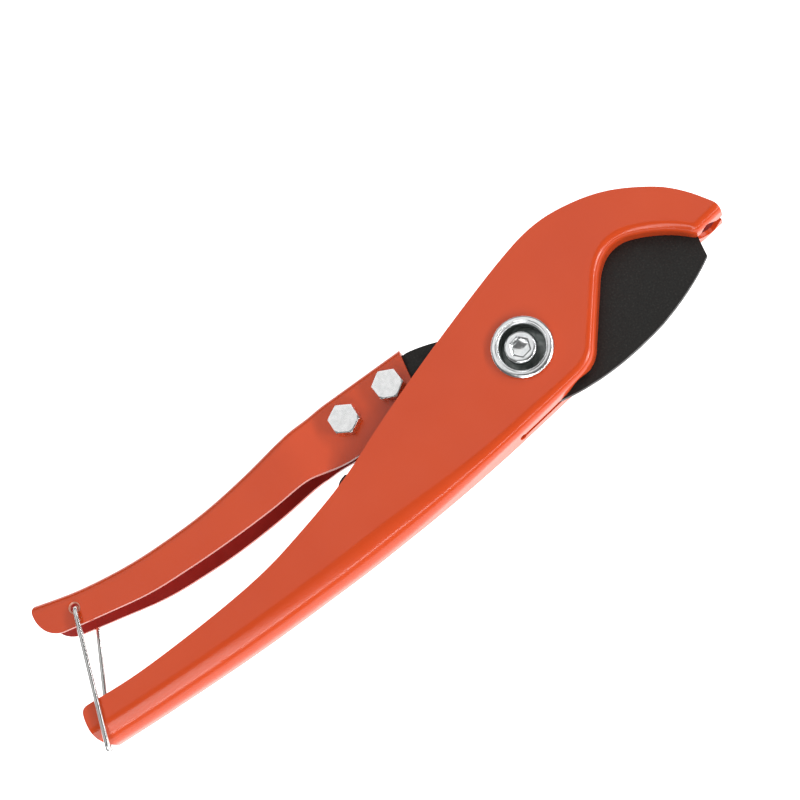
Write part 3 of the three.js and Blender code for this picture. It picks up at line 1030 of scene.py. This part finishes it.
def pivot_bush():
    """Flanged bush: the journal of the blade, with a recess for the screw's head."""
    low, high = box_mm("pivot_bush")
    top = high.z
    profile = [
        (3.7, low.z), (5, low.z), (5, SHOULDER_Z), (8, SHOULDER_Z), (8, BODY_HIGH.z + 0.1),
        (9.45, BODY_HIGH.z + 0.1), (9.45, top - 0.55), (9.0, top - 0.1), (8.75, top),
        (8.05, top), (7.9, top - 0.12), (7.72, top - 0.12), (7.55, top - 0.02), (7.3, top - 0.1),
        (7, top - 0.45), (6.9, top - 1.2), (6.9, RECESS_FLOOR), (3.7, RECESS_FLOOR),
    ]
    mesher = Mesher()
    lathe(mesher, profile, closed=True)
    # Faces on the recess wall and floor take the darker plate: painted shade in the recess.
    for i, corners in enumerate(mesher.faces):
        recessed = all(mesher.points[k].xy.length < 6.99 for k in corners)
        mesher.kinds[i] = int(recessed and mesher.points[corners[0]].z > SHOULDER_Z)
    made = piece("pivot_flanged_bush", mesher, "body", [TURNED, RECESS_SHADE],
                 "pivot_bush")
    return break_edges(made, 0.07)


def pivot_screw():
    """Socket-head screw; the socket is a true hexagon with a drilled bottom."""
    low, high = box_mm("pivot_screw")
    top = high.z
    seat = top - 6
    centre = SCREW_CENTRE
    mesher = Mesher()
    shank = threaded(3.0, low.z + 0.5, low.z + 7.3, 1.0)
    profile = [
        (0, low.z), (2.5, low.z), *shank, (3, low.z + 7.6), (3, seat), (5, seat),
        (5, top - 0.9), (4.75, top - 0.35), (4.45, top - 0.08), (4.2, top), (3.75, top),
    ]
    lathe(mesher, profile, centre)
    rim = circle(centre, 3.75, TURN_STEPS)
    turn = math.radians(10)
    corners = [circle(centre, r / math.cos(math.pi / 6), 6, turn) for r in (3.0, 2.5, 2.5, 2.4)]
    depths = (0.0, 0.35, 3.0, 3.1)
    loops = mesher.flat(rim, [corners[0]], lambda p: top)
    rows = [loops[1]]
    rows += [mesher.add((p.x, p.y, top - depth) for p in ring)
             for ring, depth in zip(corners[1:], depths[1:])]
    mesher.strips(rows, closed=True)
    bottom = mesher.add([(centre.x, centre.y, top - 4.0)])[0]
    for i in range(6):
        mesher.face((rows[-1][i], rows[-1][(i + 1) % 6], bottom))
    made = piece("pivot_socket_screw", mesher, "body", [TURNED], "pivot_screw")
    return break_edges(made, 0.06)


def return_spring():
    """Torsion spring round the bush: one leg on the tang, the other on the body's web."""
    turns, rise, wire, coil = 2.49, 3.1, 0.6, 9.0
    low = SHOULDER_Z + wire + 0.05
    first = math.radians(105.8)
    hook = (-30, 1)
    knots = [
        (*hook, MID - BLADE_HALF), (*hook, low - 1.2), (hook[0] + 1.2, hook[1] + 0.35, low),
        (-16, 5, low),
    ]
    count = round(turns * 20)
    for i in range(count + 1):
        angle = first - 2 * math.pi * turns * i / count
        knots.append((coil * math.cos(angle), coil * math.sin(angle), low + rise * i / count))
    knots += [(-8, -12.6, low + rise), (-19, -16.8, low + rise)]
    mesher = Mesher()
    tube(mesher, rounded_route([Vector(k) for k in knots]), wire, 16)
    made = piece("torsion_spring", mesher, None, [WIRE], "return_spring", sharp=60)
    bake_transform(made)
    return made


def rounded_route(knots, per_span=6):
    """A centripetal Catmull-Rom curve through the knots."""
    first = knots[0] * 2 - knots[1]
    last = knots[-1] * 2 - knots[-2]
    padded = [first, *knots, last]
    route = [knots[0]]
    for p0, p1, p2, p3 in zip(padded, padded[1:], padded[2:], padded[3:]):
        t1 = (p1 - p0).length ** 0.5
        t2 = t1 + (p2 - p1).length ** 0.5
        t3 = t2 + (p3 - p2).length ** 0.5
        for i in range(1, per_span + 1):
            t = t1 + (t2 - t1) * i / per_span
            a1 = p0.lerp(p1, t / t1)
            a2 = p1.lerp(p2, (t - t1) / (t2 - t1))
            a3 = p2.lerp(p3, (t - t2) / (t3 - t2))
            b1 = a1.lerp(a2, t / t2)
            b2 = a2.lerp(a3, (t - t1) / (t3 - t1))
            route.append(b1.lerp(b2, (t - t1) / (t2 - t1)))
    return route


# ---- bail and bump stop ----

def bail():
    """Wire bail that hangs from the moving handle and loops over the body's end."""
    low, high = box_mm("bail_latch")
    x, y = BAIL_HOLE.x + 0.5, BAIL_HOLE.y - 0.4
    front, back = high.z - BAIL_WIRE, low.z + BAIL_WIRE
    corners = [
        (x, y, MID + 4.4), (x, y, front), (-170, -21.1, front), (-176.4, -20.6, back),
        (x, y, back), (x, y, MID - 4.4),
    ]
    mesher = Mesher()
    tube(mesher, bent_route(corners, 2.0), BAIL_WIRE + 0.05)
    return piece("wire_bail", mesher, "bail", [WIRE], "bail_latch", sharp=60)


def bump_stop():
    """Rubber block that the moving handle's neck closes onto."""
    drawn = Outline(-69.4, -9, 1.5)
    drawn.line(-64.2, -9).line(-64.2, 1.9).quad(-64.2, 2.9, -65.2, 2.9)
    drawn.quad(-68.8, 2.4, -69.4, 0)
    low, high = box_mm("bump_stop")
    mesher = Mesher()
    rings = [mesher.add((p.x, p.y, z) for p in drawn.points) for z in (low.z, high.z)]
    mesher.strips(rings, closed=True)
    for ring in rings:
        mesher.face(ring)
    made = piece("rubber_bump_stop", mesher, "body", [RUBBER], "bump_stop")
    return break_edges(made, 0.6, 40, 3)


def pivot_stack():
    """The turned pieces on the pivot line."""
    pivot_bush()
    pivot_screw()
    washer_piece("plain_pivot_washer", 3.7, "body", TURNED, "pivot_washer")
    for end in ("front", "rear"):
        node = f"{end}_thrust_washer"
        washer_piece(f"{end}_bronze_washer", 5.2, body_of(node), BRONZE, node)
    washer_piece("rear_spacer_ring", 5.2, body_of("rear_spacer"), TURNED,
                 "rear_spacer")
    low, high = box_mm("pivot_nut")
    seat = high.z - 4
    collar = [(4.1, low.z), (4.9, low.z), (4.9, seat + 0.2), (4.1, seat + 0.2)]
    hexagon_nut("pivot_lock_nut", SCREW_CENTRE, 10, 3.15, 30, seat, high.z, "pivot_nut",
                body_of("pivot_nut"), collar)
    low, high = box_mm("pivot_nut_insert")
    mesher = Mesher()
    ring = [(3.15, low.z), (4, low.z), (4, high.z), (3.15, high.z)]
    lathe(mesher, ring, SCREW_CENTRE, closed=True)
    made = piece("nylon_insert", mesher, body_of("pivot_nut_insert"), [NYLON],
                 "pivot_nut_insert")
    break_edges(made, 0.12)


def body_of(node):
    """The name of the CAD body that a node belongs to."""
    bodies = frame["record"]["behaviour"]["bodies"]
    return next(body for body, nodes in bodies.items() if node in nodes)


def neck_hardware():
    """Bolts, lock washers and nuts that hold the moving handle on the tang."""
    for end, corner in (("front", 92), ("rear", 87)):
        neck_bolt(end, corner)
        lock_washer(end)
        node = f"{end}_neck_nut"
        low, high = box_mm(node)
        hexagon_nut(f"{end}_nut", BOLT_CENTRES[end], BOLT_FLATS, 2.65, 0, low.z, high.z, node,
                    "blade_and_handle")


# ---- studio ----

def aimed(location, target, lengthways=(1, 0, 0)):
    """A matrix at `location` whose -Z looks at the target, with its X near `lengthways`."""
    back = (Vector(location) - Vector(target)).normalized()
    across = Vector(lengthways)
    across = (across - back * across.dot(back)).normalized()
    matrix = Matrix((across, back.cross(across), back)).transposed().to_4x4()
    matrix.translation = Vector(location)
    return matrix


def softbox(name, location, size, radiance, lengthways=(1, 0, 0), target=(-0.04, 0.0, 0.016)):
    """A rectangular area light of the given size in metres and radiance."""
    light = bpy.data.lights.new(name, "AREA")
    light.shape = "RECTANGLE"
    light.size, light.size_y = size
    light.energy = radiance * math.pi * size[0] * size[1]
    made = bpy.data.objects.new(name, light)
    made.matrix_world = aimed(location, target, lengthways)
    bpy.context.scene.collection.objects.link(made)


def floor():
    """A plain white floor that the part lies on."""
    size, z = 3.0, cad_box[0][2] - 0.0002
    mesh = bpy.data.meshes.new("floor")
    corners = [(-size, -size, z), (size, -size, z), (size, size, z), (-size, size, z)]
    mesh.from_pydata(corners, [], [(0, 1, 2, 3)])
    made = bpy.data.objects.new("floor", mesh)
    bpy.context.scene.collection.objects.link(made)
    shader = Shader("white_floor", (0.3, 0.3, 0.3), 0.9, 0.0, Emission_Strength=1.5)
    shader.bsdf.inputs["Emission Color"].default_value = (1, 1, 1, 1)
    mesh.materials.append(shader.material)


def studio():
    """Plain soft light: a big panel behind and above, fill from both sides, and low strips
    in front and to the right that draw thin lines along the bends."""
    world = bpy.data.worlds.new("studio")
    world.use_nodes = True
    world.node_tree.nodes["Background"].inputs["Color"].default_value = (0.13, 0.13, 0.13, 1)
    bpy.context.scene.world = world
    bpy.context.scene.view_settings.view_transform = "Standard"
    softbox("ceiling_panel", (0.1, 0.66, 1.0), (2.7, 1.1), 0.8)
    softbox("left_window", (-0.46, -0.55, 0.73), (0.8, 0.30), 3.6, lengthways=(0.13, -0.66, -0.45))
    softbox("right_fill", (0.62, -0.62, 0.60), (0.35, 0.35), 6.5)
    softbox("front_strip", (-0.09, -0.89, 0.47), (1.7, 0.05), 12.0)
    softbox("right_strip", (0.80, -0.34, 0.52), (1.3, 0.05), 18.0, lengthways=(0.4, 0.9, 0))
    floor()


def camera():
    """A long lens in front of the pivot, rolled so that the tool rises to the right."""
    location = Vector((0.0006, -0.1588, 0.594))
    target = Vector((-0.0384, 0.0102, 0.024))
    roll = math.radians(37.5)
    forward = (target - location).normalized()
    along_x = Vector((1, 0, 0))
    level = (along_x - forward * along_x.dot(forward)).normalized()
    down = forward.cross(level)
    right = level * math.cos(roll) + down * math.sin(roll)
    below = down * math.cos(roll) - level * math.sin(roll)
    matrix = Matrix((right, -below, -forward)).transposed().to_4x4()
    matrix.translation = location
    data = bpy.data.cameras.new("camera")
    data.lens = 90.09
    data.sensor_width = 36.0
    data.clip_start = 0.01
    made = bpy.data.objects.new("camera", data)
    made.matrix_world = matrix
    bpy.context.scene.collection.objects.link(made)
    bpy.context.scene.camera = made


# ---- assembly ----

camera()
studio()
body_shell()
handle_shell()
blade_plate()
pivot_stack()
return_spring()
neck_hardware()
bail()
bump_stop()
